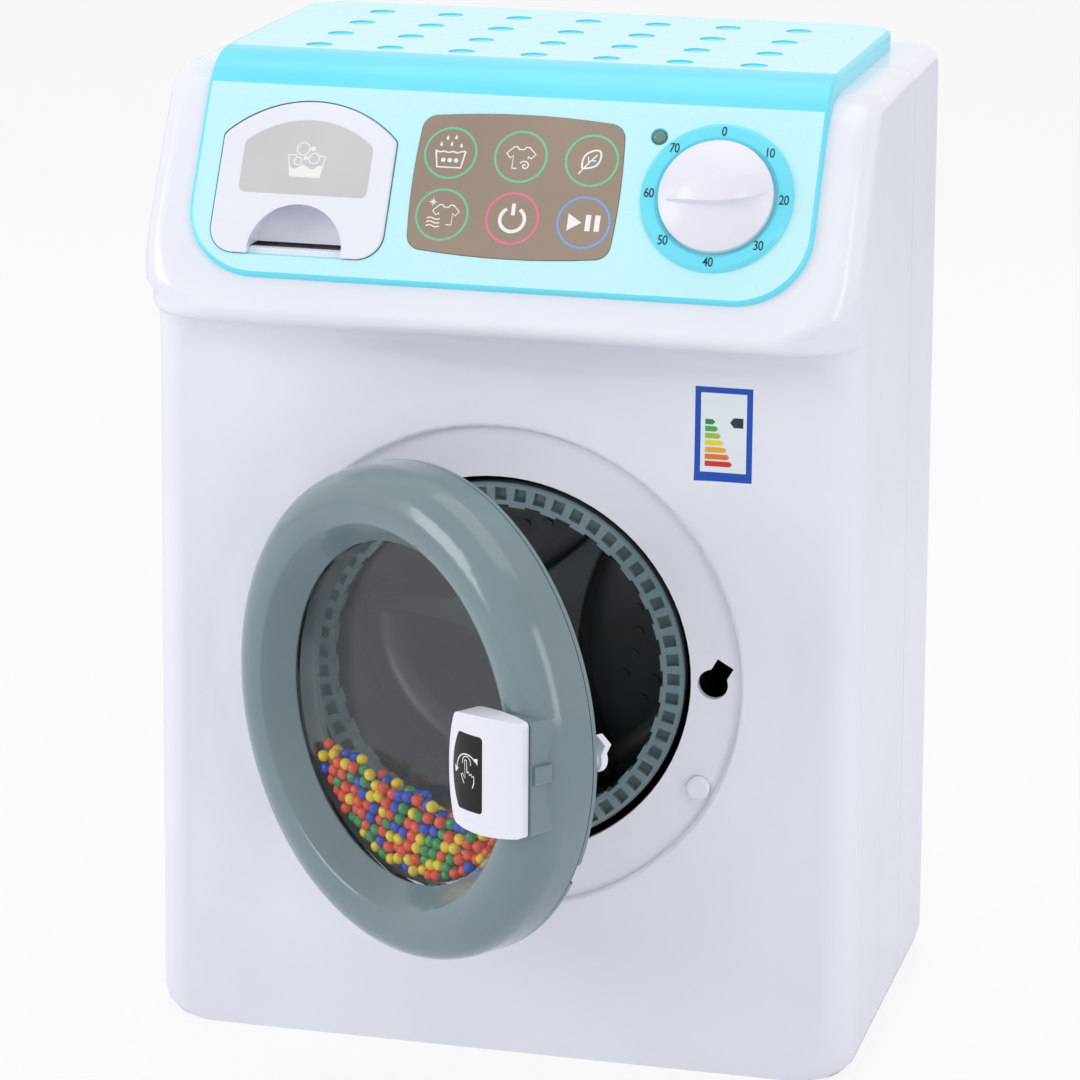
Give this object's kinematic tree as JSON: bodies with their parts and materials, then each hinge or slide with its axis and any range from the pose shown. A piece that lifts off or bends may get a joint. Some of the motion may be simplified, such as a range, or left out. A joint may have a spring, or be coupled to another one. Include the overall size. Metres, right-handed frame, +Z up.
{
  "type": "toy washing machine",
  "caption": "Front-loading toy washing machine with an open round door, pocketed drum ring, latch handle, slanted console, soap drawer, dial and touch panel.",
  "frame": {"origin": "centre of the base's footprint, on the surface it stands on", "axes": "+Z up, front with the door towards -Y, +X to the right seen from the front"},
  "size_m": [0.2398, 0.2519, 0.329],
  "materials": {
    "white_gloss": "glossy white moulding",
    "white_knob": "glossy white moulding",
    "pale_cyan": "glossy pale cyan moulding",
    "cyan": "glossy cyan moulding",
    "slate": "satin slate grey moulding",
    "charcoal": "glossy charcoal moulding",
    "black": "matt black moulding",
    "inlay_black": "glossy black plate",
    "silver_plate": "satin silver plate",
    "bronze_plate": "mirror bronze plate",
    "clear": "clear moulding",
    "lamp": "tinted clear lamp",
    "bead_orange": "gloss",
    "bead_yellow": "gloss",
    "bead_green": "gloss",
    "bead_blue": "gloss",
    "steel": "bright steel",
    "board": "green circuit board",
    "cell": "plain cell jacket",
    "gear": "natural gear plastic"
  },
  "bodies": {
    "case": {"front_shell": "white_gloss", "rear_shell": "white_gloss", "shell_screws": "steel", "console_cover": "pale_cyan", "touch_panel": "bronze_plate", "circuit_board": "board", "power_light": "lamp", "dial_ring": "cyan", "timer_unit": "black", "drawer_guide": "white_gloss", "drum_tub": "black", "drum_bearing": "gear", "motor_bracket": "black", "drive_motor": "steel", "door_switch": "black", "hinge_pin": "steel", "battery_box": "white_gloss", "battery_cells": "cell", "battery_contacts": "steel", "speaker": "black", "switch_housing": "black"},
    "door": {"door_ring_front": "slate", "door_ring_rear": "slate", "door_screws": "steel", "window_outer": "clear", "window_inner": "clear", "beads_orange": "bead_orange", "beads_yellow": "bead_yellow", "beads_green": "bead_green", "beads_blue": "bead_blue"},
    "latch": {"door_handle": "white_gloss", "handle_inlay": "inlay_black", "door_latch": "white_gloss"},
    "drum": {"drum_shell": "charcoal", "drum_ring": "slate", "drum_axle": "steel", "axle_clip": "steel", "drum_gear": "gear"},
    "pinion": {"motor_pinion": "gear"},
    "drawer": {"soap_drawer": "white_gloss", "drawer_inlay": "silver_plate"},
    "knob": {"timer_knob": "white_knob"},
    "button": {"door_button": "white_gloss"},
    "switch": {"power_switch": "black"},
    "battery_cover": {"battery_door": "white_gloss", "battery_screw": "steel"}
  },
  "joints": [
    {"name": "door_hinge", "type": "hinge", "parent": "case", "child": "door", "pos_m": [-0.076, -0.079, 0.1342], "axis": [0, 0, -1], "range_deg": [-35, 65]},
    {"name": "latch_turn", "type": "hinge", "parent": "door", "child": "latch", "pos_m": [0.04356, -0.1654, 0.1342], "axis": [0.5736, 0.8192, 0], "range_deg": [0, 60]},
    {"name": "drum_spin", "type": "hinge", "parent": "case", "child": "drum", "pos_m": [0, -0.0695, 0.1342], "axis": [0, 1, 0], "continuous": true},
    {"name": "pinion_spin", "type": "hinge", "parent": "case", "child": "pinion", "pos_m": [0, -0.0695, 0.09905], "axis": [0, 1, 0], "continuous": true},
    {"name": "drawer_slide", "type": "slide", "parent": "case", "child": "drawer", "axis": [0, -1, 0], "range_m": [0, 0.045]},
    {"name": "timer_turn", "type": "hinge", "parent": "case", "child": "knob", "pos_m": [0.0701, -0.0696, 0.2934], "axis": [0, -0.866, 0.5], "range_deg": [-247, 68]},
    {"name": "button_press", "type": "slide", "parent": "case", "child": "button", "axis": [0, 1, 0], "range_m": [0, 0.0022], "stiffness_N_per_m": 200, "springref_m": -0.002},
    {"name": "switch_slide", "type": "slide", "parent": "case", "child": "switch", "axis": [1, 0, 0], "range_m": [0, 0.005]},
    {"name": "battery_cover_tilt", "type": "hinge", "parent": "case", "child": "battery_cover", "pos_m": [0, 0.06865, 0.01755], "axis": [-1, 0, 0], "range_deg": [0, 90]}
  ],
  "couplings": [
    {"joint": "pinion_spin", "follows": "drum_spin", "ratio": -6}
  ]
}
